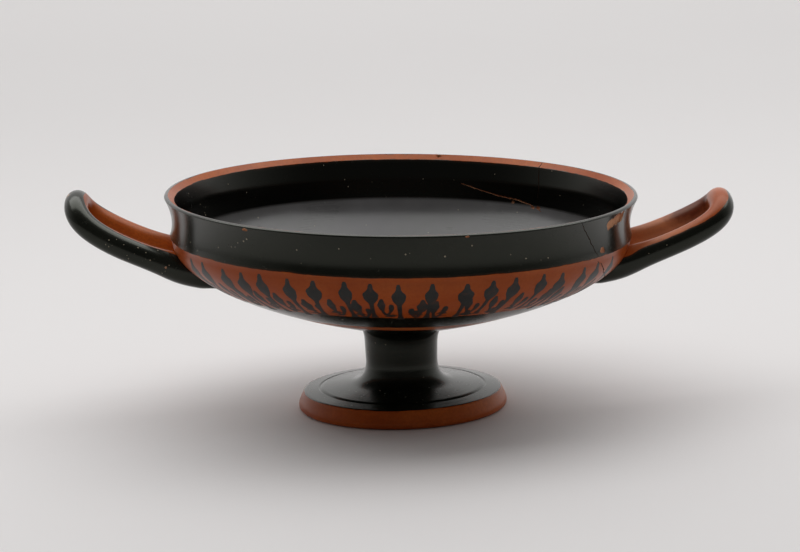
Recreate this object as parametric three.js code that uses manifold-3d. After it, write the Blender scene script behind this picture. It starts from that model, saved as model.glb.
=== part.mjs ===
// A Greek band cup, or kylix: a shallow stemmed drinking cup with a flaring lip set off from the
// bowl, two upswept loop handles and a disc foot, all one piece of fired clay.
// Millimetres, +Z up. The origin is on the floor, under the middle of the foot; the handles lie
// along X. The bowl and its handles lean a little towards +X on the stem, as thrown by hand.
import * as THREE from 'three';
import { mergeVertices } from 'three/addons/utils/BufferGeometryUtils.js';
import Module from 'manifold-3d';

// ---- driving dimensions -------------------------------------------------------------------
const rimRadius = 90;
const rimHeight = 83.5;
const bowlLean = THREE.MathUtils.degToRad(1.58);
const leanPivotHeight = 26;

// Lip: a concave collar between the rim and a small step above the bowl.
const lipBase = { radius: 88, height: 67.8 };
const lipWaist = { radius: 85.8, height: 74.5 };
const crestWidth = 1.5;
const innerBevel = { inward: 2.3, down: 1.9 };

// Bowl: outside and inside both follow
//   height = top - depth * sqrt(1 - (radius / mouth) ^ fullness)
const bowlOutside = { mouth: 87.3, top: 66.6, depth: 38.6, fullness: 1.03 };
const bowlInside = { mouth: 84, top: 67.5, depth: 33.2, fullness: 1.15 };
const stepWidth = 0.7;

// Stem and foot.
const stemRadius = 13.75;
const stemTopHeight = 33;
const stemFillet = { outward: 6.6, up: 7.4 };
const footRadius = 40.1;
const footHeight = 6.9;
const footTopRadius = 38;
const footSlopeRise = 3.9;
const standingRing = { inner: 31.5, outer: 38.9 };
const groove = { radius: 31.8, halfWidth: 0.7, depth: 0.5 };
const hollow = { neckRadius: 7, neckHeight: 20, tipHeight: 25.5 };

// Handles: a round roll of clay, bent into a horseshoe. Seen from the side it rises from a root
// buried in the bowl's wall to the tip as one curve, drawn towards a guide point; each point is
// [distance out, height]. Seen from above its arms run level and its end is round.
const rollRadius = 4.5;
const horseshoeSquareness = 6;
const rightHandle = { side: 1, root: [62, 52], guide: [123, 70.8], tip: [121.7, 80], halfWidth: 15.8 };
const leftHandle = { side: -1, root: [62, 50.6], guide: [122, 66.6], tip: [123.5, 79.6], halfWidth: 14.8 };

// The roll swells where it meets the wall, and its buried end tapers.
const rootSwell = { reach: 73, extra: 1.8, fade: 7, endShare: 0.45 };

// Facets.
const bowlSides = 64;
const footSides = 48;
const rollSides = 12;
const rollSteps = 36;

const wasm = await Module();
wasm.setup();

// ---- small helpers ------------------------------------------------------------------------

// Turns a profile of [radius, height] pairs about +Z.
function turned(profile, sides) {
  const points = profile.map(([radius, height]) => new THREE.Vector2(radius, height));
  return new THREE.LatheGeometry(points, sides).rotateX(Math.PI / 2);
}

// A closed mesh as a solid: shared vertices merged, collapsed triangles left out.
function solid(geometry) {
  const bare = geometry.clone();
  bare.deleteAttribute('normal');
  bare.deleteAttribute('uv');
  const merged = mergeVertices(bare, 1e-4);
  const index = merged.index.array;
  const triangles = [];
  for (let i = 0; i < index.length; i += 3) {
    const [a, b, c] = [index[i], index[i + 1], index[i + 2]];
    if (a !== b && b !== c && c !== a) triangles.push(a, b, c);
  }
  return new wasm.Manifold(new wasm.Mesh({
    numProp: 3,
    vertProperties: new Float32Array(merged.attributes.position.array),
    triVerts: new Uint32Array(triangles),
  }));
}

// Back from a solid to a geometry with its own normals.
function geometryOf(body) {
  const mesh = body.getMesh();
  const geometry = new THREE.BufferGeometry();
  geometry.setAttribute('position', new THREE.BufferAttribute(mesh.vertProperties, 3));
  geometry.setIndex(new THREE.BufferAttribute(mesh.triVerts, 1));
  geometry.computeVertexNormals();
  return geometry;
}

// Evenly spaced numbers from first to last, both included.
function spread(first, last, count) {
  return Array.from({ length: count }, (_, i) => first + ((last - first) * i) / (count - 1));
}

// ---- bowl ---------------------------------------------------------------------------------

function bowlHeight({ mouth, top, depth, fullness }, radius) {
  return top - depth * Math.sqrt(1 - (radius / mouth) ** fullness);
}

// Radii crowd towards the mouth, where the wall turns up.
function bowlProfile(curve, count) {
  return spread(0, Math.PI / 2, count).map((angle) => {
    const radius = curve.mouth * Math.sin(angle);
    return [radius, bowlHeight(curve, radius)];
  });
}

// The concave outside of the lip, from its base up to the rim.
function lipProfile(count) {
  const curve = new THREE.QuadraticBezierCurve(
    new THREE.Vector2(lipBase.radius, lipBase.height),
    new THREE.Vector2(lipWaist.radius, lipWaist.height),
    new THREE.Vector2(rimRadius, rimHeight - 0.5),
  );
  return curve.getPoints(count - 1).map((point) => [point.x, point.y]);
}

// Everything inside the cup's outer skin, still full of clay.
function bowlBlank() {
  return turned([
    ...bowlProfile(bowlOutside, 14),
    [lipBase.radius - 0.3, lipBase.height - stepWidth],
    ...lipProfile(6),
    [rimRadius - 0.5, rimHeight],
    [0, rimHeight],
  ], bowlSides);
}

// The space for the wine: floor, wall and the bevel inside the rim.
function bowlCavity() {
  const brim = rimRadius - crestWidth;
  const above = 3;
  return turned([
    ...bowlProfile(bowlInside, 12),
    [brim - innerBevel.inward - 1.5, rimHeight - innerBevel.down - 7],
    [brim - innerBevel.inward, rimHeight - innerBevel.down],
    [brim, rimHeight],
    [brim, rimHeight + above],
    [0, rimHeight + above],
  ], bowlSides);
}

// ---- stem and foot ------------------------------------------------------------------------

// Height of the foot's upper face, which falls gently from the stem to the edge.
function footTop(radius) {
  const share = (footTopRadius - radius) / (footTopRadius - stemRadius);
  return footHeight + footSlopeRise * share;
}

// The hollow curve by which the foot's upper face runs up into the stem.
function filletProfile() {
  const start = stemRadius + stemFillet.outward;
  const corner = footTop(stemRadius);
  const curve = new THREE.QuadraticBezierCurve(
    new THREE.Vector2(start, footTop(start)),
    new THREE.Vector2(stemRadius, corner),
    new THREE.Vector2(stemRadius, corner + stemFillet.up),
  );
  return curve.getPoints(4).map((point) => [point.x, point.y]);
}

function footBlank() {
  const { radius, halfWidth, depth } = groove;
  return turned([
    [0, hollow.tipHeight],
    [hollow.neckRadius * 0.7, hollow.tipHeight - 1.5],
    [hollow.neckRadius, hollow.neckHeight],
    [hollow.neckRadius + 7, 10],
    [standingRing.inner - 3, 2.2],
    [standingRing.inner, 0],
    [standingRing.outer, 0],
    [footRadius - 0.3, 1.6],
    [footRadius, 3.2],
    [footRadius - 0.5, 5],
    [footTopRadius + 0.5, footHeight - 0.5],
    [footTopRadius, footHeight],
    [radius + halfWidth, footTop(radius + halfWidth)],
    [radius, footTop(radius) - depth],
    [radius - halfWidth, footTop(radius - halfWidth)],
    ...filletProfile(),
    [stemRadius + 0.3, 26],
    [stemRadius + 1.6, 29.8],
    [stemRadius + 2, stemTopHeight],
    [0, stemTopHeight],
  ], footSides);
}

// ---- handles ------------------------------------------------------------------------------

// The roll's centre line, from the near root round the tip to the far root.
class HandleLine extends THREE.Curve {
  constructor(handle) {
    super();
    this.handle = handle;
  }

  getPoint(t, target = new THREE.Vector3()) {
    const { side, root, guide, tip, halfWidth } = this.handle;
    const along = Math.sin(Math.PI * t);
    const across = halfWidth * Math.sqrt(1 - along ** horseshoeSquareness);
    const [out, height] = [0, 1].map((k) => (
      (1 - along) ** 2 * root[k] + 2 * (1 - along) * along * guide[k] + along ** 2 * tip[k]
    ));
    return target.set(side * out, t < 0.5 ? -across : across, height);
  }
}

function handleRoll(handle) {
  const section = new THREE.Shape().absarc(0, 0, rollRadius, 0, 2 * Math.PI);
  const extrudePath = new HandleLine(handle);
  // An arc gets two sides for each of its curve segments.
  const geometry = new THREE.ExtrudeGeometry(section, {
    curveSegments: rollSides / 2,
    steps: rollSteps,
    extrudePath,
  });
  return swellRoots(geometry, extrudePath.getSpacedPoints(rollSteps), handle.root[0]);
}

// How thick the roll is, as a share of its plain thickness, at a distance out from the axis.
function rollShare(out, rootOut) {
  const { reach, extra, fade, endShare } = rootSwell;
  const swollen = 1 + extra / rollRadius;
  if (out < reach) return THREE.MathUtils.mapLinear(out, rootOut, reach, endShare, swollen);
  return 1 + (swollen - 1) * Math.exp((reach - out) / fade);
}

function swellRoots(geometry, centres, rootOut) {
  const position = geometry.attributes.position;
  const vertex = new THREE.Vector3();
  for (let i = 0; i < position.count; i += 1) {
    vertex.fromBufferAttribute(position, i);
    const centre = centres.reduce((best, point) => (
      point.distanceTo(vertex) < best.distanceTo(vertex) ? point : best
    ));
    vertex.sub(centre).multiplyScalar(rollShare(Math.abs(centre.x), rootOut)).add(centre);
    position.setXYZ(i, vertex.x, vertex.y, vertex.z);
  }
  return geometry;
}

// ---- the cup ------------------------------------------------------------------------------

function kylix() {
  const upper = solid(bowlBlank())
    .add(solid(handleRoll(rightHandle)))
    .add(solid(handleRoll(leftHandle)))
    .subtract(solid(bowlCavity()));
  const leaning = geometryOf(upper)
    .translate(0, 0, -leanPivotHeight)
    .rotateY(bowlLean)
    .translate(0, 0, leanPivotHeight);
  const body = solid(leaning).add(solid(footBlank()));
  const slip = new THREE.MeshStandardMaterial({ color: 0x16150f, roughness: 0.38, metalness: 0 });
  const mesh = new THREE.Mesh(geometryOf(body), slip);
  mesh.name = 'kylix_cup';
  return mesh;
}

const part = new THREE.Group();
part.name = 'band_cup';
part.add(kylix());

export default part;
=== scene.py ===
"""Looks of a wheel-thrown, black-slipped drinking cup with two horseshoe handles and a painted band of buds.

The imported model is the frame: its rim gives the millimetre, and every size below is in such millimetres.
Outlines are (radius, height) pairs, with the floor at height 0 and the foot's middle at radius 0.
"""
import math
import random

import bmesh
import bpy
from mathutils import Matrix, Vector


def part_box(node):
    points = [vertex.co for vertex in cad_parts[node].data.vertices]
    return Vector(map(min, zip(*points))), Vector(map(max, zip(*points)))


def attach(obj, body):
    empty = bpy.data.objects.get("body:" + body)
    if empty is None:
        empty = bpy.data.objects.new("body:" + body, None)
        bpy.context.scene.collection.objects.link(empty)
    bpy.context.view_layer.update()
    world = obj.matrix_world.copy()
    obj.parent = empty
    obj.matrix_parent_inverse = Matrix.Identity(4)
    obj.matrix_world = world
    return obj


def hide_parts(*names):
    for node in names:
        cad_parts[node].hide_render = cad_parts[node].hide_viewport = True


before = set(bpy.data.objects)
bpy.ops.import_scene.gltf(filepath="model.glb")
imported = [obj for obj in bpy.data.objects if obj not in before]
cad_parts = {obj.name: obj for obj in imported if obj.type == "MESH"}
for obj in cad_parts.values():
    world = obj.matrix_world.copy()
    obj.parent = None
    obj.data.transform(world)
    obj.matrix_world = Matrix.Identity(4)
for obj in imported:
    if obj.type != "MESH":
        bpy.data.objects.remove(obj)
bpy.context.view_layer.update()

CAD_NODE = "kylix_cup"
LOWEST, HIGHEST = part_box(CAD_NODE)

# ---------------------------------------------------------------- sizes

RIM_RADIUS = 90
MM = (HIGHEST.y - LOWEST.y) / 2 / RIM_RADIUS

RIM_HEIGHT = 83.5
LEAN = math.radians(1.58)           # the bowl was set on its stem a little crooked
LEAN_PIVOT = 26
LEAN_FADE = (19, 30)                # heights between which the stem takes up the lean
THROWN_WOBBLE = 0.22                # how far a hand-thrown wall strays from true

LIP_BASE = (88, 67.8)
LIP_WAIST = (85.8, 74.5)
LIP_TOP = (RIM_RADIUS, RIM_HEIGHT - 0.8)
CREST_CORNER = (RIM_RADIUS - 0.1, RIM_HEIGHT)
CREST_INNER = (RIM_RADIUS - 1.5, RIM_HEIGHT - 0.05)
BEVEL_FOOT = (86.2, 81.6)
INNER_WALL = (84.7, 74.6)

BOWL_OUTSIDE = {"mouth": 87.3, "top": 66.6, "depth": 38.6, "fullness": 1.03}
BOWL_INSIDE = {"mouth": 84, "top": 67.5, "depth": 33.2, "fullness": 1.15}
OUTSIDE_MOUTH = BOWL_OUTSIDE["mouth"] - 0.02        # just short of where each curve stands upright
INSIDE_MOUTH = BOWL_INSIDE["mouth"] - 0.02
FLOOR_EDGE = (BOWL_INSIDE["mouth"], BOWL_INSIDE["top"])
BOWL_STEP = (87.7, 67.1)
STEM_RADIUS = 13.75
STEM_STRAIGHT = (18.2, 26)
STEM_FLARE = 0.3                    # how much the stem widens on its way up
STEM_JOIN = {"outward": 3.2, "corner_out": 0.6, "corner_height": 30.6}
FILLET = {"outward": 6.6, "up": 7.4}

FOOT_RADIUS = 40.1
FOOT_TOP_RADIUS = 38
FOOT_EDGE_HEIGHT = 6.9
FOOT_BULGE_HEIGHT = 2.9
FOOT_RISE = 3.9
GROOVE = {"radius": 31.8, "half": 0.55, "depth": 0.3}
RING = (31.5, 38.9)
HOLLOW = [(0, 25.5), (4.9, 24), (7, 20), (14, 10), (28.5, 2.2)]

GROUND_BAND_RUN = 23.6              # down the wall from the lip to the black ground band
GROUND_BAND_INNER = 54              # radii where black gives way to bare clay and back again
RESERVED_LINE_INNER = 43.5

ROLL = 4.5
SQUARENESS = 4
# "bare" is in degrees round the roll: the middle of the bare clay, half its width, and half at the tip.
RIGHT_HANDLE = {
    "side": 1, "root": (62, 52), "guide": (123, 70.8), "tip": (121.7, 80), "half": 15.8,
    "bare": (34, 100, 112)}
LEFT_HANDLE = {
    "side": -1, "root": (62, 50.6), "guide": (122, 66.6), "tip": (123.5, 79.6), "half": 14.8,
    "bare": (12, 86, 60)}
SWELL = {"reach": 82, "extra": 0.28, "spread": 9}   # the roll thickens where it meets the wall
ROOT_TAPER = {"from": 62, "to": 74, "share": 0.45}
BARE_AT_WALL = math.radians(9)      # the slip stops short of the wall on a handle's upper side
CAVITY_SINK = 1.6                   # handle ends are cut off this deep inside the wall

WALL_SEGMENTS = 320
HANDLE_STEPS = 120
HANDLE_SIDES = 36
FRONT = math.radians(-90)
BACK = math.radians(90)
SEED = 11
WELD = 0.004 * MM                   # points nearer than this are one point

BUDS = 19                           # on each face, with a leaf and a link in each gap
BUD_PITCH = math.radians(7.1)
DRAWINGS = 12                       # of each kind of mark
PLUG_TOP = RIM_HEIGHT + 8
HANDLE_STEP_RUN = 1.1               # millimetres that one step along a handle covers


# ---------------------------------------------------------------- node trees

class Field:
    """One value in a node tree, which can be reckoned with like a number."""

    def __init__(self, maker, socket):
        self.maker = maker
        self.socket = socket

    def __add__(self, other):
        return self.maker.math("ADD", self, other)

    def __radd__(self, other):
        return self.maker.math("ADD", other, self)

    def __sub__(self, other):
        return self.maker.math("SUBTRACT", self, other)

    def __rsub__(self, other):
        return self.maker.math("SUBTRACT", other, self)

    def __mul__(self, other):
        return self.maker.math("MULTIPLY", self, other)

    def __rmul__(self, other):
        return self.maker.math("MULTIPLY", other, self)

    def __truediv__(self, other):
        return self.maker.math("DIVIDE", self, other)

    def __pow__(self, other):
        return self.maker.math("POWER", self, other)


class Maker:
    """Adds nodes to a tree, and joins each to what it is given."""

    def __init__(self, tree):
        self.tree = tree
        self.entry = None

    def give(self, socket, value):
        if isinstance(value, Field):
            self.tree.links.new(value.socket, socket)
        else:
            socket.default_value = value

    def node(self, kind, given=None, **settings):
        made = self.tree.nodes.new(kind)
        for name, value in settings.items():
            setattr(made, name, value)
        for key, value in (given or {}).items():
            self.give(made.inputs[key], value)
        return made

    def out(self, made, key=0):
        return Field(self, made.outputs[key])

    def get(self, kind, given=None, output=0, **settings):
        return self.out(self.node(kind, given, **settings), output)

    def math(self, operation, *values):
        return self.get("ShaderNodeMath", dict(enumerate(values)), operation=operation)

    def vector(self, operation, *values, output=0):
        return self.get("ShaderNodeVectorMath", dict(enumerate(values)), output, operation=operation)

    def scaled(self, value, size):
        return self.get("ShaderNodeVectorMath", {0: value, "Scale": size}, operation="SCALE")

    def combine(self, x=0.0, y=0.0, z=0.0):
        return self.get("ShaderNodeCombineXYZ", {0: x, 1: y, 2: z})

    def split(self, value):
        made = self.node("ShaderNodeSeparateXYZ", {0: value})
        return [self.out(made, axis) for axis in range(3)]

    def blend(self, value, low, high, to_low=0.0, to_high=1.0, smooth=True):
        """to_low where the value is under low, to_high where it is over high."""
        given = {0: value, 1: low, 2: high, 3: to_low, 4: to_high}
        kind = "SMOOTHSTEP" if smooth else "LINEAR"
        return self.get("ShaderNodeMapRange", given, interpolation_type=kind)

    def socket(self, name, kind="Float", value=None):
        """A named input of a geometry tree."""
        item = self.tree.interface.new_socket(name, in_out="INPUT", socket_type="NodeSocket" + kind)
        if value is not None:
            item.default_value = value
        if self.entry is None:
            self.entry = self.tree.nodes.new("NodeGroupInput")
        return self.out(self.entry, name)

    def finish(self, name, kind, value):
        """The tree's one output."""
        self.tree.interface.new_socket(name, in_out="OUTPUT", socket_type="NodeSocket" + kind)
        leave = self.tree.nodes.new("NodeGroupOutput")
        self.give(leave.inputs[0], value)
        return self.tree


def geometry_maker(name):
    return Maker(bpy.data.node_groups.new(name, "GeometryNodeTree"))


def store(maker, geometry, name, value):
    """Keeps a pair of numbers on the face corners, as a map that shaders can read."""
    given = {"Geometry": geometry, "Name": name, "Value": value}
    return maker.get("GeometryNodeStoreNamedAttribute", given, data_type="FLOAT2", domain="CORNER")


def closed_skin(maker, skin, place, finish):
    """Moves a flat grid's points into place, closes its seam and ends, and gives it its finish."""
    skin = maker.get("GeometryNodeSetPosition", {"Geometry": skin, "Position": place})
    skin = maker.get("GeometryNodeMergeByDistance", {"Geometry": skin, "Distance": WELD})
    skin = maker.get("GeometryNodeRealizeInstances", {"Geometry": skin})
    skin = maker.get("GeometryNodeSetMaterial", {"Geometry": skin, "Material": finish})
    return maker.finish("Geometry", "Geometry", skin)


def place_tree():
    """Radius, height and turn to a point on the cup, with the crooked bowl's lean and the wall's wobble."""
    maker = geometry_maker("place_on_cup")
    radius = maker.socket("Radius")
    height = maker.socket("Height")
    turn = maker.socket("Turn")
    lean = maker.socket("Lean", value=LEAN)
    pivot = maker.socket("Pivot Height", value=LEAN_PIVOT * MM)
    low = maker.socket("Lean From", value=LEAN_FADE[0] * MM)
    high = maker.socket("Lean To", value=LEAN_FADE[1] * MM)
    wobble = maker.socket("Wobble", value=THROWN_WOBBLE * MM)
    east = maker.math("COSINE", turn)
    north = maker.math("SINE", turn)
    around = maker.combine(east, north, height * (0.02 / MM))
    waver = maker.get("ShaderNodeTexNoise", {"Vector": around, "Scale": 1.7, "Detail": 1.0})
    share = maker.blend(radius, 10 * MM, RIM_RADIUS * MM)
    wide = radius + (waver - 0.5) * wobble * 2.0 * share
    upright = maker.combine(wide * east, wide * north, height)
    angle = lean * maker.blend(height, low, high)
    centre = maker.combine(0.0, 0.0, pivot)
    given = {"Vector": upright, "Center": centre, "Angle": angle}
    tilted = maker.get("ShaderNodeVectorRotate", given, rotation_type="Y_AXIS")
    return maker.finish("Place", "Vector", tilted)


def placed(maker, radius, height, turn):
    made = maker.tree.nodes.new("GeometryNodeGroup")
    made.node_tree = bpy.data.node_groups["place_on_cup"]
    for key, value in {"Radius": radius, "Height": height, "Turn": turn}.items():
        maker.give(made.inputs[key], value)
    return maker.out(made)


def turned_tree():
    """Spins an outline round the wheel's axis into a closed skin, and keeps its run and paint maps."""
    maker = geometry_maker("turned_wall")
    outline = maker.socket("Outline", "Geometry")
    segments = maker.socket("Segments", "Int", WALL_SEGMENTS)
    rows = maker.socket("Outline Points", "Int", 10)
    finish = maker.socket("Finish", "Material")
    given = {"Size X": 1.0, "Size Y": 1.0, "Vertices X": segments + 1, "Vertices Y": rows}
    grid = maker.get("GeometryNodeMeshGrid", given)
    across, along, _ = maker.split(maker.get("GeometryNodeInputPosition"))
    turn = (across + 0.5) * math.tau
    row = maker.math("ROUND", (along + 0.5) * (rows - 1))

    def sampled(value, kind):
        given = {"Geometry": outline, "Value": value, "Index": row}
        return maker.get("GeometryNodeSampleIndex", given, data_type=kind)

    def named(name):
        return maker.get("GeometryNodeInputNamedAttribute", {"Name": name}, data_type="FLOAT")

    point = sampled(maker.get("GeometryNodeInputPosition"), "FLOAT_VECTOR")
    radius, _, height = maker.split(point)
    run = sampled(named("run"), "FLOAT")
    bare = sampled(named("bare"), "FLOAT")
    skin = store(maker, grid, "turned", maker.combine(turn * RIM_RADIUS, run))
    skin = store(maker, skin, "paint", maker.combine(bare, 0.0))
    return closed_skin(maker, skin, placed(maker, radius, height, turn), finish)


def handle_tree():
    """Sweeps a round roll along a horseshoe: out from the wall, squarely across, and back."""
    maker = geometry_maker("rolled_handle")
    maker.socket("Geometry", "Geometry")
    side = maker.socket("Side", value=1.0)
    root = [maker.socket(name) for name in ("Root Out", "Root Height")]
    guide = [maker.socket(name) for name in ("Guide Out", "Guide Height")]
    tip = [maker.socket(name) for name in ("Tip Out", "Tip Height")]
    half = maker.socket("Half Width")
    roll = maker.socket("Roll Radius")
    steps = maker.socket("Steps", "Int", HANDLE_STEPS)
    sides = maker.socket("Roll Sides", "Int", HANDLE_SIDES)
    slope = maker.socket("Slope")
    bare_middle = maker.socket("Bare Middle")
    bare_half = maker.socket("Bare Half")
    bare_tip = maker.socket("Bare Tip")
    finish = maker.socket("Finish", "Material")

    def horseshoe(t):
        """The middle line's point at t, from 0 at one root to 1 at the other."""
        along = maker.math("SINE", t * math.pi)
        flat = maker.math("MAXIMUM", 1.0 - along ** float(SQUARENESS), 0.0)
        way = maker.math("SIGN", t - 0.5)
        across = half * way * maker.math("SQRT", flat)
        rest = 1.0 - along
        out, height = [
            rest * rest * root[axis] + 2.0 * (rest * along * guide[axis]) + along * along * tip[axis]
            for axis in range(2)]
        return out, maker.combine(side * out, across, height)

    line = maker.get("GeometryNodeMeshLine", {"Count": steps})
    index = maker.get("GeometryNodeInputIndex")
    out, middle = horseshoe(index / (steps - 1))
    line = maker.get("GeometryNodeSetPosition", {"Geometry": line, "Position": middle})
    path = maker.get("GeometryNodeMeshToCurve", {"Mesh": line})

    given = {"Size X": 1.0, "Size Y": 1.0, "Vertices X": steps + 2, "Vertices Y": sides + 1}
    grid = maker.get("GeometryNodeMeshGrid", given)
    along, around, _ = maker.split(maker.get("GeometryNodeInputPosition"))
    row = (along + 0.5) * (steps + 1) - 1.0
    held = maker.math("MINIMUM", maker.math("MAXIMUM", row, 0.0), steps - 1.0)
    closing = 1.0 - maker.math("GREATER_THAN", maker.math("ABSOLUTE", row - held), 0.5)
    sample = maker.node("GeometryNodeSampleCurve", {"Curves": path, "Factor": held / (steps - 1)})
    place = maker.out(sample, "Position")
    tangent = maker.out(sample, "Tangent")
    plane = maker.combine(0.0 - side * maker.math("SINE", slope), 0.0, maker.math("COSINE", slope))
    inward = maker.vector("NORMALIZE", maker.vector("CROSS_PRODUCT", plane, tangent))
    inward = maker.scaled(inward, side)
    upward = maker.scaled(maker.vector("CROSS_PRODUCT", tangent, inward), side)

    east, _, _ = maker.split(place)
    reach = maker.math("ABSOLUTE", east) / MM
    away = (reach - SWELL["reach"]) / SWELL["spread"]
    swollen = 1.0 + SWELL["extra"] * maker.math("EXPONENT", 0.0 - away * away)
    buried = maker.blend(
        reach, ROOT_TAPER["from"], ROOT_TAPER["to"], ROOT_TAPER["share"], 1.0, smooth=False)
    share = swollen * buried * closing
    angle = bare_middle + around * math.tau
    lumpy = maker.get("ShaderNodeTexNoise", {"Vector": place, "Scale": 45.0, "Detail": 1.0})
    radius = roll * share * (0.97 + 0.06 * lumpy)
    offset = maker.vector(
        "ADD",
        maker.scaled(inward, radius * maker.math("COSINE", angle)),
        maker.scaled(upward, radius * maker.math("SINE", angle)))
    upright = maker.vector("ADD", place, offset)
    given = {"Vector": upright, "Center": (0, 0, LEAN_PIVOT * MM), "Angle": LEAN}
    tilted = maker.get("ShaderNodeVectorRotate", given, rotation_type="Y_AXIS")
    near_tip = maker.blend(reach, 108.0, 121.0)
    near_wall = maker.blend(reach, RIM_RADIUS - 5.0, RIM_RADIUS + 5.0, BARE_AT_WALL, 0.0)
    half_bare = bare_half + near_tip * (bare_tip - bare_half) + near_wall
    bare = (half_bare - maker.math("ABSOLUTE", around * math.tau - near_wall)) * ROLL
    skin = store(maker, grid, "turned", maker.combine(held * HANDLE_STEP_RUN, around * ROLL * math.tau))
    skin = store(maker, skin, "paint", maker.combine(bare, 0.0))
    return closed_skin(maker, skin, tilted, finish)


def frieze_tree():
    """Sets flat brush marks in a row, then lays each point on the wall by its run and turn."""
    maker = geometry_maker("painted_row")
    maker.socket("Geometry", "Geometry")
    marks = maker.socket("Marks", "Collection")
    wall = maker.socket("Wall Line", "Object")
    count = maker.socket("Count", "Int", BUDS)
    middle = maker.socket("Middle Turn")
    span = maker.socket("Span")
    stray = maker.socket("Stray")
    reach = maker.socket("Run Stray")
    tilt = maker.socket("Tilt")
    smallest = maker.socket("Smallest", value=0.9)
    largest = maker.socket("Largest", value=1.1)
    seed = maker.socket("Seed", "Int", SEED)
    finish = maker.socket("Finish", "Material")

    index = maker.get("GeometryNodeInputIndex")

    def chance(low, high, offset):
        """The node's sockets 2, 3, 7 and 8 are its plain number's least, most, ID and seed."""
        given = {2: low, 3: high, 7: index, 8: seed + offset}
        return maker.get("FunctionNodeRandomValue", given, 1, data_type="FLOAT")

    pitch = span / maker.math("MAXIMUM", count - 1.0, 1.0)
    step = middle - span / 2.0 + index * pitch + chance(-1.0, 1.0, 1) * stray
    line = maker.get("GeometryNodeMeshLine", {"Count": count})
    spot = maker.combine(step * (RIM_RADIUS * MM), chance(-1.0, 1.0, 2) * reach, 0.0)
    line = maker.get("GeometryNodeSetPosition", {"Geometry": line, "Position": spot})
    drawn = maker.get(
        "GeometryNodeCollectionInfo", {0: marks, "Separate Children": True, "Reset Children": True})
    size = chance(smallest, largest, 3)
    given = {
        "Points": line,
        "Instance": drawn,
        "Pick Instance": True,
        "Instance Index": maker.math("FLOOR", chance(0.0, DRAWINGS - 0.01, 4)),
        "Rotation": maker.combine(0.0, 0.0, chance(-1.0, 1.0, 5) * tilt),
        "Scale": maker.combine(size, size, 1.0),
    }
    rows = maker.get("GeometryNodeInstanceOnPoints", given)
    flat = maker.get("GeometryNodeRealizeInstances", {"Geometry": rows})

    across, run, lift = maker.split(maker.get("GeometryNodeInputPosition"))
    line_mesh = maker.get("GeometryNodeObjectInfo", {0: wall}, "Geometry")
    curve = maker.get("GeometryNodeMeshToCurve", {"Mesh": line_mesh})
    sample = maker.node("GeometryNodeSampleCurve", {"Curves": curve, "Length": run}, mode="LENGTH")
    at, _, up = maker.split(maker.out(sample, "Position"))
    fall_out, _, fall_up = maker.split(maker.out(sample, "Tangent"))
    radius = at - fall_up * lift
    height = up + fall_out * lift
    spot = placed(maker, radius, height, across / (RIM_RADIUS * MM))
    laid = maker.get("GeometryNodeSetPosition", {"Geometry": flat, "Position": spot})
    laid = maker.get("GeometryNodeSetMaterial", {"Geometry": laid, "Material": finish})
    return maker.finish("Geometry", "Geometry", laid)


def shown(name, data):
    """A new object, put in the scene."""
    made = bpy.data.objects.new(name, data)
    bpy.context.scene.collection.objects.link(made)
    return made


def kept_plain(piece):
    """Makes what a piece's modifiers give its own plain mesh."""
    bpy.context.view_layer.update()
    seen = piece.evaluated_get(bpy.context.evaluated_depsgraph_get())
    made = bpy.data.meshes.new_from_object(seen)
    piece.modifiers.clear()
    piece.data = made
    return piece


def grown(tree, name, sizes, start=None):
    """Runs a node tree with these sizes, and keeps the plain mesh that it makes as a new object."""
    piece = shown(name, start or bpy.data.meshes.new(name))
    modifier = piece.modifiers.new(tree.name, "NODES")
    modifier.node_group = tree
    for item in tree.interface.items_tree:
        if item.item_type == "SOCKET" and item.in_out == "INPUT" and item.name in sizes:
            modifier[item.identifier] = sizes[item.name]
    kept_plain(piece).data.name = name
    return piece


# ---------------------------------------------------------------- outlines

def curve_of(start, corner, end, count):
    """Points of the round stretch from start to end that pulls towards corner."""
    line = []
    for step in range(count + 1):
        t = step / count
        weights = ((1 - t) ** 2, 2 * t * (1 - t), t ** 2)
        line.append(tuple(
            sum(w * p[axis] for w, p in zip(weights, (start, corner, end))) for axis in range(2)))
    return line


def straight(start, end, count):
    """Evenly spaced points from start to end, both included."""
    return [
        tuple(a + (b - a) * step / count for a, b in zip(start, end)) for step in range(count + 1)]


def bowl_height(form, radius):
    full = min(1, (radius / form["mouth"]) ** form["fullness"])
    return form["top"] - form["depth"] * math.sqrt(1 - full)


def bowl_line(form, start, end, count):
    """Points of the bowl's curve between two radii, closer together towards the steep mouth."""
    angles = [math.acos(min(1, radius / form["mouth"])) for radius in (start, end)]
    line = []
    for step in range(count + 1):
        radius = form["mouth"] * math.cos(angles[0] + (angles[1] - angles[0]) * step / count)
        line.append((radius, bowl_height(form, radius)))
    return line


def foot_height(radius):
    """The foot's top rises gently towards the stem."""
    share = (FOOT_TOP_RADIUS - radius) / (FOOT_TOP_RADIUS - STEM_RADIUS)
    return FOOT_EDGE_HEIGHT + FOOT_RISE * share


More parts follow.
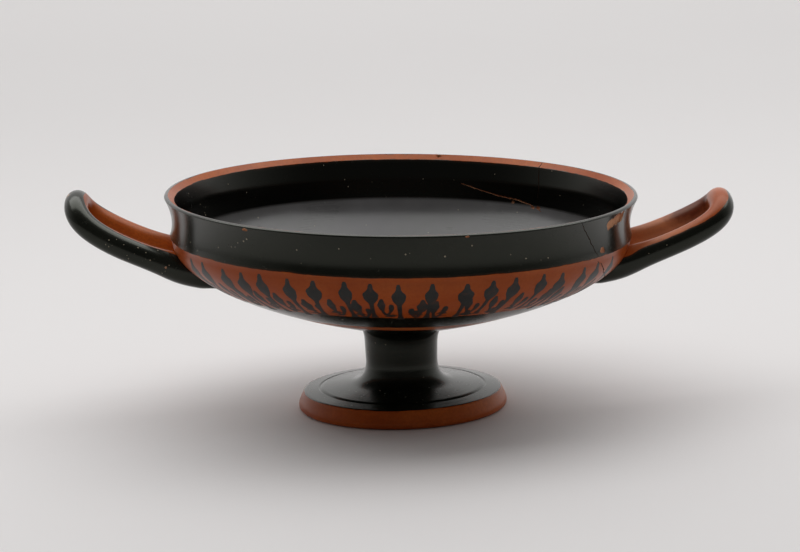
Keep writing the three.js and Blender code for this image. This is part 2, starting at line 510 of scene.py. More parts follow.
def foot_top():
    """From the foot's edge inward, over the turned groove, up the fillet and the stem to the bowl."""
    middle = GROOVE["radius"]
    dip = foot_height(middle) - GROOVE["depth"]
    sides = [middle + way * GROOVE["half"] for way in (1, -1)]
    edges = [(radius, foot_height(radius)) for radius in sides]
    outer_edge = (FOOT_TOP_RADIUS, foot_height(FOOT_TOP_RADIUS))
    fillet_start = STEM_RADIUS + FILLET["outward"]
    corner = (STEM_RADIUS, foot_height(STEM_RADIUS))
    line = straight(outer_edge, edges[0], 6)
    line += curve_of(edges[0], (middle, 2 * dip - edges[0][1]), edges[1], 6)
    line += straight(edges[1], (fillet_start, foot_height(fillet_start)), 9)
    line += curve_of(line[-1], corner, (STEM_RADIUS, corner[1] + FILLET["up"]), 10)
    line += straight((STEM_RADIUS, STEM_STRAIGHT[0]), (STEM_RADIUS + STEM_FLARE, STEM_STRAIGHT[1]), 6)
    join = STEM_RADIUS + STEM_JOIN["outward"]
    corner = (STEM_RADIUS + STEM_JOIN["corner_out"], STEM_JOIN["corner_height"])
    return line + curve_of(line[-1], corner, (join, bowl_height(BOWL_OUTSIDE, join)), 7)


def skin_lines():
    """The whole outline from under the foot to the middle of the bowl's floor, as (paint, points)."""
    hollow = HOLLOW[:1] + HOLLOW[1:3] + straight(HOLLOW[2], HOLLOW[3], 4)[1:]
    hollow += straight(HOLLOW[3], HOLLOW[4], 8)[1:] + [(RING[0], 0)]
    arris = (FOOT_TOP_RADIUS, FOOT_EDGE_HEIGHT)
    edge = straight((RING[0], 0), (RING[1], 0), 4)
    edge += curve_of(edge[-1], (FOOT_RADIUS + 0.5, 0.3), (FOOT_RADIUS - 0.2, FOOT_BULGE_HEIGHT), 7)
    edge += straight(edge[-1], (FOOT_TOP_RADIUS + 0.3, FOOT_EDGE_HEIGHT - 0.3), 5) + [arris]
    stem = foot_top()
    below = bowl_line(BOWL_OUTSIDE, stem[-1][0], RESERVED_LINE_INNER, 20)
    thin_line = bowl_line(BOWL_OUTSIDE, RESERVED_LINE_INNER, GROUND_BAND_INNER - 1, 7)
    ground_top = radius_down_wall(GROUND_BAND_RUN)
    ground = bowl_line(BOWL_OUTSIDE, GROUND_BAND_INNER - 1, ground_top, 14)
    band = bowl_line(BOWL_OUTSIDE, ground_top, OUTSIDE_MOUTH, 26)
    band += [BOWL_STEP, LIP_BASE]
    lip = curve_of(LIP_BASE, LIP_WAIST, LIP_TOP, 20) + curve_of(LIP_TOP, CREST_CORNER, CREST_INNER, 5)
    bevel = straight(CREST_INNER, BEVEL_FOOT, 4)
    inside = straight(BEVEL_FOOT, INNER_WALL, 7)
    inside += straight(INNER_WALL, FLOOR_EDGE, 6)
    inside += bowl_line(BOWL_INSIDE, INSIDE_MOUTH, 0, 56)
    return [
        ("clay", hollow), ("clay", edge), ("slip", stem), ("slip", below), ("clay", thin_line),
        ("slip", ground), ("clay", band), ("slip", lip), ("clay", bevel), ("slip", inside)]


def wall_line(step=0.25):
    """The outer wall from under the lip inward, in even steps of run."""
    line = [(OUTSIDE_MOUTH, bowl_height(BOWL_OUTSIDE, OUTSIDE_MOUTH))]
    angle = math.acos(line[0][0] / BOWL_OUTSIDE["mouth"])
    while line[-1][0] > RESERVED_LINE_INNER:
        angle += step / BOWL_OUTSIDE["mouth"]
        radius = BOWL_OUTSIDE["mouth"] * math.cos(angle)
        line.append((radius, bowl_height(BOWL_OUTSIDE, radius)))
    return line


def radius_down_wall(run):
    """The wall's radius this far down from the lip."""
    line = wall_line()
    gone = 0
    for near, far in zip(line, line[1:]):
        gone += math.dist(near, far)
        if gone >= run:
            return far[0]
    return line[-1][0]


def without_doubles(lines):
    """One list of points and one of paints, with the points where two stretches meet kept once."""
    points = []
    paints = []
    for paint, stretch in lines:
        for point in stretch:
            if points and math.dist(points[-1], point) < 0.01:
                continue
            points.append(point)
            paints.append(paint)
    return points, paints


def run_to(place):
    """How far along the whole outline this point of it lies."""
    points, _ = without_doubles(skin_lines())
    index = min(range(len(points)), key=lambda index: math.dist(points[index], place))
    return sum(math.dist(near, far) for near, far in zip(points[:index], points[1:index + 1]))


def outline_mesh(name, lines):
    """An outline as a chain of edges that knows its run, and how far inside bare clay each point is."""
    points, paints = without_doubles(lines)
    runs = [0]
    for near, far in zip(points, points[1:]):
        runs.append(runs[-1] + math.dist(near, far))
    edges = []
    for index in range(1, len(points)):
        if paints[index] != paints[index - 1]:
            edges.append(runs[index - 1])
    mesh = bpy.data.meshes.new(name)
    mesh.from_pydata(
        [(radius * MM, 0, height * MM) for radius, height in points],
        [(index, index + 1) for index in range(len(points) - 1)], [])
    run_values = mesh.attributes.new("run", "FLOAT", "POINT")
    bare_values = mesh.attributes.new("bare", "FLOAT", "POINT")
    for index, run in enumerate(runs):
        way = 1 if paints[index] == "clay" else -1
        near = min([abs(run - edge) for edge in edges], default=20)
        run_values.data[index].value = run
        bare_values.data[index].value = way * near
    return mesh


# ---------------------------------------------------------------- places on the cup

def leant(point):
    """A point of the upright bowl where the crooked bowl has it."""
    pivot = Vector((0, 0, LEAN_PIVOT))
    return Matrix.Rotation(LEAN, 3, "Y") @ (Vector(point) - pivot) + pivot


def on_lathe(radius, height, turn):
    angle = math.radians(turn)
    return leant((radius * math.cos(angle), radius * math.sin(angle), height)) * MM


def radius_at(line, height):
    """The radius of an outline that rises all the way, at a height."""
    for near, far in zip(line, line[1:]):
        if min(near[1], far[1]) <= height <= max(near[1], far[1]):
            share = (height - near[1]) / ((far[1] - near[1]) or 1)
            return near[0] + (far[0] - near[0]) * share
    return min(line, key=lambda point: abs(point[1] - height))[0]


# ---------------------------------------------------------------- the fired body

def turned(name, lines, finish, segments=WALL_SEGMENTS):
    mesh = outline_mesh(name + "_outline", lines)
    sizes = {"Segments": segments, "Outline Points": len(mesh.vertices), "Finish": finish}
    return faced_outward(grown(TURNED, name, sizes, mesh))


def faced_outward(piece):
    """Turns a closed skin's faces outward."""
    work = bmesh.new()
    work.from_mesh(piece.data)
    if work.calc_volume(signed=True) < 0:
        bmesh.ops.reverse_faces(work, faces=work.faces)
    work.to_mesh(piece.data)
    work.free()
    return piece


def joined(body, tool, operation):
    """Joins or cuts body with tool, which is used up."""
    modifier = body.modifiers.new("cut", "BOOLEAN")
    modifier.operation = operation
    modifier.object = tool
    modifier.solver = "MANIFOLD"
    modifier.material_mode = "TRANSFER"
    kept_plain(body)
    bpy.data.objects.remove(tool)
    return body


def handle(name, form, finish):
    """One handle, trimmed so that its ends stop inside the wall's thickness."""
    middle, half, tip = [math.radians(angle) for angle in form["bare"]]
    slope = math.atan2(form["tip"][1] - form["root"][1], form["tip"][0] - form["root"][0])
    sizes = {
        "Side": float(form["side"]), "Half Width": form["half"] * MM, "Roll Radius": ROLL * MM,
        "Slope": slope, "Bare Middle": middle, "Bare Half": half, "Bare Tip": tip, "Finish": finish}
    for key in ("root", "guide", "tip"):
        sizes[key.title() + " Out"] = form[key][0] * MM
        sizes[key.title() + " Height"] = form[key][1] * MM
    rolled = faced_outward(grown(HANDLE, name, sizes))
    sunk = CAVITY_SINK * 0.7        # this far out and this far down
    inner = [
        (radius + sunk, height - sunk)
        for radius, height in bowl_line(BOWL_INSIDE, INSIDE_MOUTH, 0, 30)]
    inner[-1] = (0, inner[-1][1])
    plug = [("slip", [(0, PLUG_TOP), (inner[0][0], PLUG_TOP)] + inner)]
    return joined(rolled, turned("plug", plug, finish, 96), "DIFFERENCE")


# ---------------------------------------------------------------- finishes

FLOOR_START = run_to(FLOOR_EDGE)
LIP_START = run_to(LIP_BASE)

# Each spot is a place on the cup, as (across, deep, up), and how far its effect reaches.
STAIN = ((111, 11, 76.5), 20)
# A painted sheen: pale pinkish clay over the right handle.
PAINTED_SHEEN_SPOT = ((104, 4, 68), 30)
FLECKED = [((-104, -14, 58), 22), ((-58, -64, 77), 8), ((-72, 30, 76), 12), ((97, -16, 66), 9)]
RUBBED_BUDS = [((-28.6, -82, 62.5), 2.6), ((4.8, -87.3, 62.5), 2.6), ((35.8, -78.2, 62.5), 2.6)]
SCRAPED = [((-123.5, 0, 84), 8), ((97, -15, 66), 7), ((-90, -15, 60), 9)]
SLIP_SHINE = 0.32
CLAY_SHINE = 0.16


def material(name):
    made = bpy.data.materials.new(name)
    made.use_nodes = True
    made.node_tree.nodes.clear()
    return made, Maker(made.node_tree)


def colour(red, green, blue):
    return (red, green, blue, 1.0)


def mixed(maker, share, first, second):
    """first where share is 0 and second where it is 1."""
    made = maker.node("ShaderNodeMix", {0: share, 6: first, 7: second}, data_type="RGBA")
    return maker.out(made, 2)


def noise(maker, place, scale, detail=2.0, rough=0.5):
    given = {"Vector": place, "Scale": scale, "Detail": detail, "Roughness": rough}
    return maker.get("ShaderNodeTexNoise", given)


def surfaced(made, maker, given):
    """Ends a finish in one surface shader with these inputs."""
    shader = maker.get("ShaderNodeBsdfPrincipled", given, "BSDF")
    maker.node("ShaderNodeOutputMaterial", {"Surface": shader})
    return made


def object_place(maker):
    return maker.get("ShaderNodeTexCoord", output="Object")


def within(maker, place, centre, reach):
    """1 at a spot on the cup, fading to 0 at reach millimetres from it."""
    distance = maker.vector("DISTANCE", place, Vector(centre) * MM, output="Value")
    return maker.blend(distance, 0.0, reach * MM, 1.0, 0.0)


def near_spots(maker, place, spots):
    """How near a point lies to these spots, added up where they overlap."""
    total = 0.0
    for centre, reach in spots:
        total = total + within(maker, place, centre, reach)
    return total


def clay_colour(maker, place, darker_band):
    """Orange-brown fired clay, darker over the band, dark at one stain, and with a painted sheen at one
    spot.
    """
    cloud = maker.blend(noise(maker, place, 38.0, 3.0, 0.6), 0.35, 0.68)
    grain = maker.blend(noise(maker, place, 900.0, 2.0, 0.6), 0.3, 0.75)
    flat = mixed(maker, cloud, colour(0.34, 0.060, 0.007), colour(0.46, 0.104, 0.017))
    flat = mixed(maker, grain * 0.35, flat, colour(0.22, 0.038, 0.007))
    flat = mixed(maker, darker_band * 0.55, flat, colour(0.23, 0.038, 0.006))
    # Painted sheen: the clay turns pale and pinkish at one spot on the right handle.
    flat = mixed(maker, within(maker, place, *PAINTED_SHEEN_SPOT) * 0.6, flat, colour(0.52, 0.22, 0.12))
    blotch = noise(maker, place, 130.0, 3.0, 0.65)
    stain = maker.blend(within(maker, place, *STAIN) + blotch * 0.6, 0.54, 0.98)
    return mixed(maker, stain * 0.9, flat, colour(0.10, 0.016, 0.006))


def wheel_lines(maker):
    """Fine ridges that the wheel left, running round the wall."""
    turned_map = maker.get("ShaderNodeUVMap", uv_map="turned")
    round_wall, run, _ = maker.split(turned_map)
    stretched = maker.combine(round_wall * 0.012, run * 0.9, 0.0)
    fine = maker.combine(round_wall * 0.03, run * 3.4, 3.0)
    return noise(maker, stretched, 1.0, 3.0, 0.65) * 0.7 + noise(maker, fine, 1.0, 2.0) * 0.3


def flecks(maker, place):
    """Pale specks of lime that cling in loose clusters, and a few strays."""
    crowd = maker.math("MINIMUM", near_spots(maker, place, FLECKED), 1.0)
    ragged = maker.vector("ADD", place, maker.combine(noise(maker, place, 1500.0, 2.0) * 0.0005))
    cells = maker.node("ShaderNodeTexVoronoi", {"Vector": ragged, "Scale": 720.0, "Randomness": 1.0})
    chosen, size, _ = maker.split(maker.out(cells, "Color"))
    chosen = maker.math("GREATER_THAN", chosen, 0.965 - crowd * 0.8)
    return chosen * maker.math("GREATER_THAN", 0.04 + 0.19 * size, maker.out(cells, "Distance"))


def painted_finish():
    """Black slip over clay: the paint map says how far each point is from a painted edge."""
    made, maker = material("slip_over_clay")
    place = object_place(maker)
    paint = maker.get("ShaderNodeUVMap", uv_map="paint")
    bare, _, _ = maker.split(paint)
    ragged = (noise(maker, place, 160.0, 2.0) - 0.5) * 0.9 + (noise(maker, place, 30.0, 1.0) - 0.5) * 0.8
    clay_share = maker.blend(bare + ragged, -0.10, 0.10)
    scuff = noise(maker, place, 210.0, 3.0, 0.7)
    scraped = near_spots(maker, place, SCRAPED)
    worn = maker.blend(scuff + scraped * 0.27, 0.755, 0.79)
    shown_clay = maker.math("MAXIMUM", clay_share, worn * 0.85)
    lime = flecks(maker, place) * (1.0 - clay_share)

    cloud = maker.blend(noise(maker, place, 26.0, 3.0, 0.6), 0.35, 0.7)
    black = mixed(maker, cloud, colour(0.0032, 0.0038, 0.0024), colour(0.0080, 0.0086, 0.0060))
    _, run, _ = maker.split(maker.get("ShaderNodeUVMap", uv_map="turned"))
    inner_wall = maker.blend(run, run_to(BEVEL_FOOT), run_to(BEVEL_FOOT) + 1.5)
    bowl_floor = maker.blend(run, FLOOR_START + 0.7, FLOOR_START + 2.3)
    # Painted shade: the black of the inner lip wall is made darker than the rest of the slip.
    black = mixed(maker, inner_wall - bowl_floor, black, colour(0.0012, 0.0012, 0.0008))
    # A dull grey film on the bowl's floor: partly a real film on the slip, partly a painted sheen for the
    # light mirrored there.
    film_and_sheen = bowl_floor * (0.72 + 0.28 * maker.blend(noise(maker, place, 45.0, 3.0), 0.3, 0.7))
    # Painted light: the film fades towards the bowl's middle, and its tone is paler near the mouth and
    # darker deeper down.
    film_and_sheen = film_and_sheen * maker.blend(run, FLOOR_START + 12.0, FLOOR_START + 60.0, 1.0, 0.45)
    deep = maker.blend(run, FLOOR_START + 1.0, FLOOR_START + 8.0)
    film_and_sheen_tone = mixed(maker, deep, colour(0.195, 0.191, 0.191), colour(0.080, 0.077, 0.079))
    across, _, high = maker.split(place)
    # Painted shade: the film is darkened towards the bowl's sides.
    painted_side_shade = maker.blend(maker.math("ABSOLUTE", across), 30.0 * MM, 78.0 * MM)
    film_and_sheen_tone = mixed(maker, painted_side_shade * 0.75, film_and_sheen_tone, colour(0.020, 0.019, 0.019))
    black = mixed(maker, film_and_sheen, black, film_and_sheen_tone)
    thin = maker.blend(bare + ragged, -1.1, -0.05) * (1.0 - clay_share)
    black = mixed(maker, thin * 0.30, black, colour(0.075, 0.028, 0.014))
    dust = maker.blend(noise(maker, place, 480.0, 3.0, 0.7), 0.60, 0.80)
    black = mixed(maker, dust * 0.16 * (1.0 - inner_wall), black, colour(0.07, 0.066, 0.056))
    # The clay of the bare band, between the ground band and the lip, is made darker.
    darker_band = maker.blend(run, LIP_START - GROUND_BAND_RUN - 3, LIP_START - GROUND_BAND_RUN - 1)
    darker_band = darker_band - maker.blend(run, LIP_START - 1, LIP_START + 1)
    tone = mixed(maker, shown_clay, black, clay_colour(maker, place, darker_band))
    tone = mixed(maker, worn * (1.0 - clay_share) * 0.55, tone, colour(0.50, 0.30, 0.19))
    tone = mixed(maker, lime * 0.6, tone, colour(0.50, 0.43, 0.31))

    lines = wheel_lines(maker)
    gloss = 0.18 + 0.06 * cloud + 0.16 * dust + 0.06 * (lines - 0.5)
    gloss = gloss + film_and_sheen * 0.12
    rough = gloss + shown_clay * (0.30 - gloss) + lime * 0.3
    ridged = maker.blend(high, 26.0 * MM, 32.0 * MM, 1.3, 0.55)
    relief = lines * ridged + noise(maker, place, 700.0, 3.0) * 0.25 - worn * 0.8 - shown_clay * 0.25 + lime
    bump = maker.get("ShaderNodeBump", {"Strength": 0.28, "Distance": 0.12 * MM, "Height": relief})
    return surfaced(made, maker, {
        "Base Color": tone, "Roughness": rough, "Normal": bump, "IOR": 1.5,
        "Specular IOR Level": SLIP_SHINE - (SLIP_SHINE - CLAY_SHINE) * clay_share,
        "Specular Tint": mixed(maker, film_and_sheen, colour(0.96, 1.0, 0.86), colour(1.0, 1.0, 1.0))})


def brushed_finish():
    """The same slip as brush marks on the clay: thinner, browner, with the brush's drag."""
    made, maker = material("brushed_slip")
    place = object_place(maker)
    drag = noise(maker, place, 260.0, 3.0, 0.6)
    thin = maker.blend(drag, 0.50, 0.72)
    cloud = maker.blend(noise(maker, place, 60.0, 2.0), 0.4, 0.65)
    black = mixed(maker, cloud, colour(0.009, 0.009, 0.008), colour(0.017, 0.017, 0.015))
    tone = mixed(maker, thin * 0.35, black, colour(0.085, 0.030, 0.014))
    rubbed = near_spots(maker, place, RUBBED_BUDS)
    tone = mixed(maker, maker.blend(rubbed * drag, 0.22, 0.34) * 0.8, tone, colour(0.40, 0.27, 0.20))
    rough = 0.34 + 0.16 * drag
    bump = maker.get("ShaderNodeBump", {"Strength": 0.25, "Distance": 0.06 * MM, "Height": drag})
    return surfaced(made, maker, {
        "Base Color": tone, "Roughness": rough, "Normal": bump, "Specular IOR Level": 0.3})


def broken_finish():
    """Freshly exposed clay in a chip: rough, paler and grainy."""
    made, maker = material("broken_clay")
    place = object_place(maker)
    grit = noise(maker, place, 620.0, 4.0, 0.7)
    patch = maker.blend(noise(maker, place, 140.0, 2.0), 0.4, 0.6)
    tone = mixed(maker, patch, colour(0.36, 0.13, 0.055), colour(0.50, 0.24, 0.12))
    tone = mixed(maker, maker.blend(grit, 0.5, 0.7) * 0.4, tone, colour(0.16, 0.05, 0.02))
    rough = 0.75 + 0.2 * grit
    bump = maker.get("ShaderNodeBump", {"Strength": 0.6, "Distance": 0.25 * MM, "Height": grit})
    return surfaced(made, maker, {"Base Color": tone, "Roughness": rough, "Normal": bump})


def dirt_finish():
    """Dark dirt in the bottom of a crack."""
    made, maker = material("crack_dirt")
    place = object_place(maker)
    grit = noise(maker, place, 500.0, 3.0, 0.6)
    tone = mixed(maker, grit, colour(0.020, 0.010, 0.006), colour(0.085, 0.036, 0.018))
    return surfaced(made, maker, {"Base Color": tone, "Roughness": 0.6 + 0.3 * grit})


def floor_finish():
    """Plain pale paper, one colour all over."""
    made, maker = material("pale_paper")
    return surfaced(made, maker, {
        "Base Color": colour(0.80, 0.783, 0.781), "Roughness": 0.8, "Specular IOR Level": 0.2})


# ---------------------------------------------------------------- painted marks

MARK_THICKNESS = 0.07
MARK_SINK = 0.06


def eased(stations, share):
    """A value that passes smoothly through (share, value) stations."""
    for (start, low), (end, high) in zip(stations, stations[1:]):
        if share <= end:
            t = (share - start) / (end - start)
            return low + (high - low) * (3 * t * t - 2 * t ** 3)
    return stations[-1][1]


def brush_mark(path, widths, rows=20):
    """A closed, thin ribbon of slip along a bent path, with half its width given at stations."""
    middle = curve_of(*path, rows)
    points = []
    for index, (x, y) in enumerate(middle):
        before = middle[max(0, index - 1)]
        after = middle[min(rows, index + 1)]
        length = math.dist(before, after)
        side = ((after[1] - before[1]) / length, (before[0] - after[0]) / length)
        half = eased(widths, index / rows)
        edge = MARK_THICKNESS * 0.4
        section = ((-1, edge), (0, MARK_THICKNESS), (1, edge), (1, -MARK_SINK), (-1, -MARK_SINK))
        points += [
            Vector((x + side[0] * way * half, y + side[1] * way * half, lift))
            for way, lift in section]
    size = 5
    faces = []
    for row in range(rows):
        for corner in range(size):
            after = (corner + 1) % size
            faces.append((
                row * size + corner, row * size + after,
                (row + 1) * size + after, (row + 1) * size + corner))
    faces.append(tuple(reversed(range(size))))
    faces.append(tuple(rows * size + corner for corner in range(size)))
    return points, faces


def drawing(name, marks):
    """Brush marks as one flat mesh: x runs round the cup and y down the wall."""
    points = []
    faces = []
    for mark_points, mark_faces in marks:
        first = len(points)
        points += mark_points
        faces += [tuple(first + corner for corner in face) for face in mark_faces]
    mesh = bpy.data.meshes.new(name)
    mesh.from_pydata([point * MM for point in points], [], faces)
    mesh.validate()
    piece = bpy.data.objects.new(name, mesh)
    return faced_outward(piece)


def bud(width, lean, top, crown):
    """A pointed bud on a stalk: a nib, broad shoulders, a narrow neck and a stalk into the ground band."""
    length = GROUND_BAND_RUN + 0.9 - top
    stations = [
        (0, 0.5), (0.03, 0.9 * crown), (0.07, 1.0 * crown), (0.17, width), (0.24, width * 0.9),
        (0.40, 0.95), (0.75, 0.85), (1, 1.7)]
    return brush_mark([(lean, top), (lean * 0.6, top + length * 0.6), (0, top + length)], stations, 28)


def low_leaf(reach, width, top):
    """A small leaf between two buds, on a stalk that springs from the middle and leans out by reach."""
    bottom = GROUND_BAND_RUN - 1.2
    stations = [(0, 0.5), (0.08, 1.1), (0.25, width), (0.42, width * 0.75), (0.62, 0.65), (1, 0.8)]
    path = [(reach, top), (reach * 1.4, (top + bottom) / 2 + 1.5), (0, bottom)]
    return brush_mark(path, stations, 18)


def seed_dot(width):
    """A round blob of slip low between two stalks."""
    level = GROUND_BAND_RUN - 6.4
    path = [(-1.0, level + 0.7), (0, level - 0.5), (1.0, level + 0.7)]
    return brush_mark(path, [(0, 0.4), (0.5, width), (1, 0.4)], 8)


def ground_lump(width, drop, thick):
    """A flat lens of slip that ties two stalks together above the ground band."""
    level = GROUND_BAND_RUN - 3.4
    stations = [(0, 0.2), (0.35, thick), (0.65, thick * 0.9), (1, 0.2)]
    return brush_mark([(-width, level + drop), (0, level - 1.1), (width, level - drop)], stations, 12)


def ground_dash(width, drop):
    """A thin dash that breaks the bare line between the marks and the ground band."""
    level = GROUND_BAND_RUN - 0.35
    stations = [(0, 0.1), (0.4, 0.45), (1, 0.1)]
    return brush_mark([(-width, level + drop), (0, level + 0.3), (width, level - drop)], stations, 8)


def collected(name, drawings):
    """Drawings that one row chooses among. The collection is not shown itself."""
    group = bpy.data.collections.new(name)
    for piece in drawings:
        group.objects.link(piece)
    return group


def floral_marks():
    """Each kind of mark in a few hands' variations, so that no two neighbours look stamped."""
    chance = random.Random(SEED)

    def near(value, spread):
        return chance.uniform(value - spread, value + spread)

    buds = [
        drawing(f"bud_{n}", [bud(near(3.0, 0.35), near(0, 0.8), near(0.5, 0.35), near(1.1, 0.2))])
        for n in range(DRAWINGS)]
    leaves = []
    links = []
    for n in range(DRAWINGS):
        way = chance.choice((-1, 1))
        marks = [
            low_leaf(way * 1.7, near(2.1, 0.3), near(8.4, 0.8)),
            low_leaf(-way * 2.3, near(1.2, 0.2), near(12.4, 0.9))]
        leaves.append(drawing(f"leaf_{n}", marks))
        marks = [ground_lump(near(2.7, 0.5), near(0, 0.4), near(1.3, 0.3))]
        if n % 3:
            marks.append(ground_dash(near(2.6, 0.8), near(0, 0.2)))
        if n % 4:
            marks.append(seed_dot(near(1.3, 0.25)))
        links.append(drawing(f"link_{n}", marks))
    return collected("buds", buds), collected("leaves", leaves), collected("links", links)


def frieze(finish):
    """The painted band on both faces of the cup, left bare by the handles."""
    line = outline_mesh("band_line", [("clay", wall_line())])
    wall = shown("band_line", line)
    buds, leaves, links = floral_marks()
    rows = []
    for face, middle in enumerate((FRONT, BACK)):
        plan = [
            ("buds", buds, BUDS, 0.12, 0.35, 0.06),
            ("leaves", leaves, BUDS - 1, 0.12, 0.5, 0.05),
            ("links", links, BUDS - 1, 0.10, 0.12, 0.02)]
        for order, (kind, marks, count, stray, reach, tilt) in enumerate(plan):
            sizes = {
                "Marks": marks, "Wall Line": wall, "Count": count, "Middle Turn": middle,
                "Span": BUD_PITCH * (count - 1), "Stray": BUD_PITCH * stray, "Run Stray": reach * MM,
                "Tilt": tilt, "Seed": SEED + face * 50 + order * 10, "Finish": finish}
            rows.append(grown(FRIEZE, f"{kind}_{face}", sizes))
    bpy.data.objects.remove(wall)
    return merged("painted_floral_band", rows)


def merged(name, pieces):
    """Several pieces as one object."""
    work = bmesh.new()
    for piece in pieces:
        work.from_mesh(piece.data)
    mesh = bpy.data.meshes.new(name)
    work.to_mesh(mesh)
    work.free()
    for slot in pieces[0].data.materials:
        mesh.materials.append(slot)
    for piece in pieces:
        bpy.data.objects.remove(piece)
    return shown(name, mesh)


def smoothed(piece, angle):
    """Round surfaces shade smoothly, and edges sharper than angle stay crisp."""
    for face in piece.data.polygons:
        face.use_smooth = True
    piece.data.set_sharp_from_angle(angle=math.radians(angle))
    return piece


# ---------------------------------------------------------------- breaks and chips

LIP_LINE = curve_of(LIP_BASE, LIP_WAIST, LIP_TOP, 18)
BOWL_WALL_LINE = bowl_line(BOWL_OUTSIDE, RESERVED_LINE_INNER, OUTSIDE_MOUTH, 60)
INSIDE_LINE = (
    bowl_line(BOWL_INSIDE, 0, INSIDE_MOUTH, 60)
    + [INNER_WALL, BEVEL_FOOT, CREST_INNER])

# Each crack is a list of (turn in degrees, height) places that it passes.
LIP_CRACK = [(-43.8, 83.2), (-42.8, 81.4), (-40.8, 78.7), (-38.2, 75), (-36.2, 71.2), (-34.8, 68)]
BAND_CRACK = [(-34.6, 66.3), (-32.2, 64.4), (-28.5, 60.2), (-22, 56.6), (-15, 54)]
INSIDE_CRACK = [(73, 72.8), (67.2, 70.4), (61, 68.6), (54.8, 67.6), (50.8, 66.3), (47.2, 64.4)]
RIM_CRACK = [(49.6, 83.3), (49.5, 80.5), (48.8, 74.8), (48.8, 69.5)]


def seat(line, turn, height):
    """A place on an outline that rises all the way, and the direction square to its surface there."""
    place = on_lathe(radius_at(line, height), height, turn) / MM
    near, far = min(zip(line, line[1:]), key=lambda pair: abs(pair[0][1] + pair[1][1] - 2 * height))
    out, up = far[1] - near[1], near[0] - far[0]
    angle = math.radians(turn)
    square = leant((out * math.cos(angle), out * math.sin(angle), up + LEAN_PIVOT))
    return place, (square - Vector((0, 0, LEAN_PIVOT))).normalized()


def groove(name, line, stops, width, depth, finish, chance):
    """The tool for one crack: a narrow diamond that wanders along the wall, half sunk in it."""
    spine = []
    for (turn, height), (next_turn, next_height) in zip(stops, stops[1:]):
        steps = max(2, round(math.dist((turn * 1.5, height), (next_turn * 1.5, next_height)) / 1.1))
        for step in range(steps):
            share = step / steps
            stray = chance.uniform(-0.16, 0.16)
            spine.append(seat(
                line, turn + (next_turn - turn) * share + stray,
                height + (next_height - height) * share + stray))
    spine.append(seat(line, *stops[-1]))
    points = []
    for index, (place, outward) in enumerate(spine):
        ahead = spine[min(index + 1, len(spine) - 1)][0] - spine[max(index - 1, 0)][0]
        side = ahead.cross(outward).normalized()
        taper = 0.25 + 0.75 * math.sin(math.pi * (index + 0.5) / len(spine)) ** 0.5
        half = width / 2 * taper * chance.uniform(0.7, 1.3)
        points += [place + outward * 0.5, place + side * half, place - outward * depth, place - side * half]
    return tube(name, points, 4, finish)


def tube(name, points, size, finish):
    """A closed tube through rings of points, size points to a ring."""
    rings = len(points) // size
    faces = [tuple(range(size)), tuple(reversed(range((rings - 1) * size, rings * size)))]
    for ring in range(rings - 1):
        for corner in range(size):
            after = (corner + 1) % size
            faces.append((
                ring * size + after, ring * size + corner,
                (ring + 1) * size + corner, (ring + 1) * size + after))
    mesh = bpy.data.meshes.new(name)
    mesh.from_pydata([point * MM for point in points], [], faces)
    mesh.materials.append(finish)
    return faced_outward(shown(name, mesh))


def chip(name, line, turn, height, size, finish, chance, sink=0.0, tilt=0.0):
    """The tool for one chip: a lumpy pebble, size = (along, up, deep), set in the wall."""
    place, outward = seat(line, turn, height)
    along = Vector((0, 0, 1)).cross(outward).normalized()
    up = outward.cross(along)
    along, up = along * math.cos(tilt) + up * math.sin(tilt), up * math.cos(tilt) - along * math.sin(tilt)
    work = bmesh.new()
    bmesh.ops.create_icosphere(work, subdivisions=3, radius=1)
    phases = [chance.uniform(0, math.tau) for _ in range(3)]
    for vertex in work.verts:
        x, y, z = vertex.co
        lump = 1 + 0.16 * math.sin(3.1 * x + phases[0]) + 0.14 * math.sin(4.3 * y + phases[1])
        lump += 0.10 * math.sin(6.7 * (x + z) + phases[2])
        spot = along * (x * size[0]) + up * (y * size[1]) + outward * (z * size[2])
        vertex.co = (place - outward * sink + spot * lump) * MM
    mesh = bpy.data.meshes.new(name)
    work.to_mesh(mesh)
    work.free()
    mesh.materials.append(finish)
    return faced_outward(shown(name, mesh))


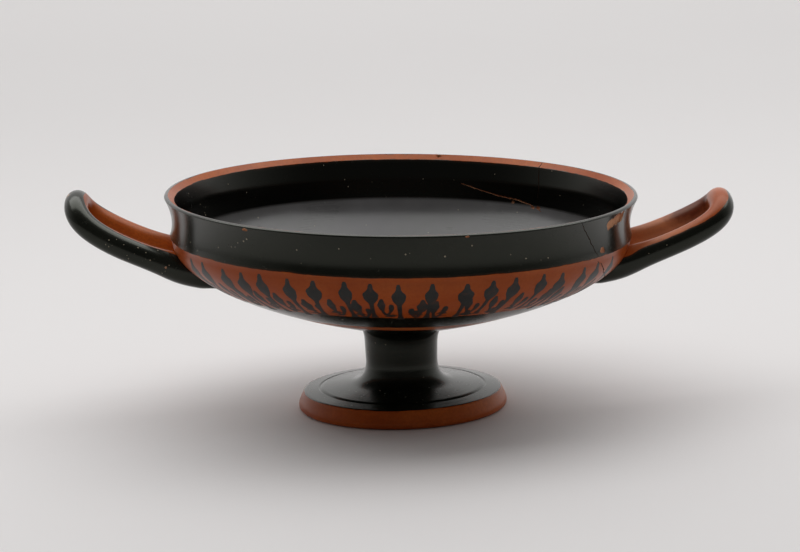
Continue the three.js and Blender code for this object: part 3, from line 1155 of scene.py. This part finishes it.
def broken(cup):
    """Cuts the cracks, the lost flake under the rim and the small chips."""
    chance = random.Random(SEED + 3)
    clay = broken_finish()
    dirt = dirt_finish()
    tools = [
        groove("lip_crack", LIP_LINE, LIP_CRACK, 0.45, 0.9, dirt, chance),
        groove("band_crack", BOWL_WALL_LINE, BAND_CRACK, 0.45, 0.8, dirt, chance),
        groove("rim_crack", INSIDE_LINE, RIM_CRACK, 0.5, 0.7, dirt, chance),
        groove("inside_crack", INSIDE_LINE, INSIDE_CRACK, 0.5, 0.7, clay, chance)]
    places = [
        # line, turn, height, size, sink, tilt
        (LIP_LINE, -29.2, 79.2, (2.9, 2.5, 0.8), 0.0, 0.15),
        (LIP_LINE, -26.5, 79.8, (3.3, 2.9, 0.85), 0.0, 0.15),
        (LIP_LINE, -23.9, 80.0, (2.8, 2.4, 0.8), 0.0, 0.15),
        (LIP_LINE, -32.5, 69.8, (1.5, 1.3, 0.5), 0.0, 0.0),
        (LIP_LINE, -129.2, 82.0, (1.1, 0.7, 0.4), 0.0, 0.0),
        (LIP_LINE, -75.2, 82.6, (0.8, 0.4, 0.4), 0.0, 0.0),
        (LIP_LINE, 80, 82.9, (1.3, 0.8, 1.0), -0.1, 0.3),
        (INSIDE_LINE, 79.5, 82.9, (1.2, 0.7, 0.9), 0.0, 0.0),
        (INSIDE_LINE, 48.4, 65.6, (0.9, 0.8, 0.6), 0.0, 0.0),
        (INSIDE_LINE, 50.4, 65.5, (0.9, 0.5, 0.5), 0.0, 0.4),
        (INSIDE_LINE, 57, 66.6, (0.6, 0.5, 0.4), 0.0, 0.0)]
    for line, turn, height, size, sink, tilt in places:
        tools.append(chip("chip", line, turn, height, size, clay, chance, sink, tilt))
    for tool in tools:
        joined(cup, tool, "DIFFERENCE")


# ---------------------------------------------------------------- the scene

def area_light(name, place, target, size, power, matte=True, gloss=True):
    """A soft box. matte and gloss say whether it lights surfaces and whether it is mirrored in them."""
    lamp = bpy.data.lights.new(name, "AREA")
    lamp.shape = "RECTANGLE"
    lamp.size, lamp.size_y = size
    lamp.energy = power
    made = shown(name, lamp)
    made.location = place
    made.rotation_mode = "QUATERNION"
    made.rotation_quaternion = (Vector(target) - Vector(place)).to_track_quat("-Z", "Y")
    made.visible_diffuse = matte
    made.visible_glossy = gloss


def surroundings():
    """A soft, pale room that is brighter behind the cup than in front of it."""
    world = bpy.data.worlds.new("studio")
    bpy.context.scene.world = world
    world.use_nodes = True
    world.node_tree.nodes.clear()
    maker = Maker(world.node_tree)
    direction = maker.get("ShaderNodeTexCoord", output="Generated")
    _, depth, _ = maker.split(direction)
    strength = 0.10 + 0.75 * maker.blend(depth, -0.7, 0.8)
    shine = maker.get("ShaderNodeBackground", {"Color": colour(1.0, 0.985, 0.975), "Strength": strength})
    maker.node("ShaderNodeOutputWorld", {"Surface": shine})


def stage():
    mesh = bpy.data.meshes.new("paper_floor")
    reach = 30
    mesh.from_pydata(
        [(-reach, -reach, 0), (reach, -reach, 0), (reach, reach, 0), (-reach, reach, 0)],
        [], [(0, 1, 2, 3)])
    mesh.materials.append(floor_finish())
    floor = shown("paper_floor", mesh)
    floor.location.z = -0.0002
    surroundings()
    area_light("overhead", (-0.03, 0.1, 0.9), (0, 0.02, 0), (1.5, 0.7), 4.7, gloss=False)
    area_light("back_panel", (0, 1.7, 0.9), (0, 0, 0.05), (2.2, 1.0), 8.1, gloss=False)
    area_light("wide_overhead", (0, 0.34, 0.9), (0, 0.34, 0), (1.9, 0.86), 15.0, matte=False)


def look():
    """The camera stands in front, a little above, and is turned slightly clockwise."""
    target = Vector((0, 0, 40)) * MM
    distance = 1205.7 * MM
    elevation = math.radians(12.09)
    roll = math.radians(1.665)
    ahead = Vector((0, math.cos(elevation), -math.sin(elevation)))
    level = Vector((1, 0, 0))
    upright = level.cross(ahead)
    right = level * math.cos(roll) - upright * math.sin(roll)
    up = upright * math.cos(roll) + level * math.sin(roll)
    data = bpy.data.cameras.new("view")
    data.sensor_width = 36
    data.lens = 141.3
    data.shift_y = 0.0341
    data.clip_start = 0.05
    data.clip_end = 100
    camera = shown("view", data)
    turn = Matrix((right, up, -ahead)).transposed().to_4x4()
    camera.matrix_world = Matrix.Translation(target - ahead * distance) @ turn
    bpy.context.scene.camera = camera
    bpy.context.scene.view_settings.view_transform = "Standard"


place_tree()
TURNED = turned_tree()
HANDLE = handle_tree()
FRIEZE = frieze_tree()

slip = painted_finish()
cup = turned("black_slipped_cup", skin_lines(), slip)
for form in (RIGHT_HANDLE, LEFT_HANDLE):
    cup = joined(cup, handle("handle", form, slip), "UNION")
broken(cup)
cup.name = "black_slipped_cup"
smoothed(cup, 38)

band = frieze(brushed_finish())
smoothed(band, 60)

for piece in (cup, band):
    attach(piece, "root")
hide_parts(CAD_NODE)

stage()
look()
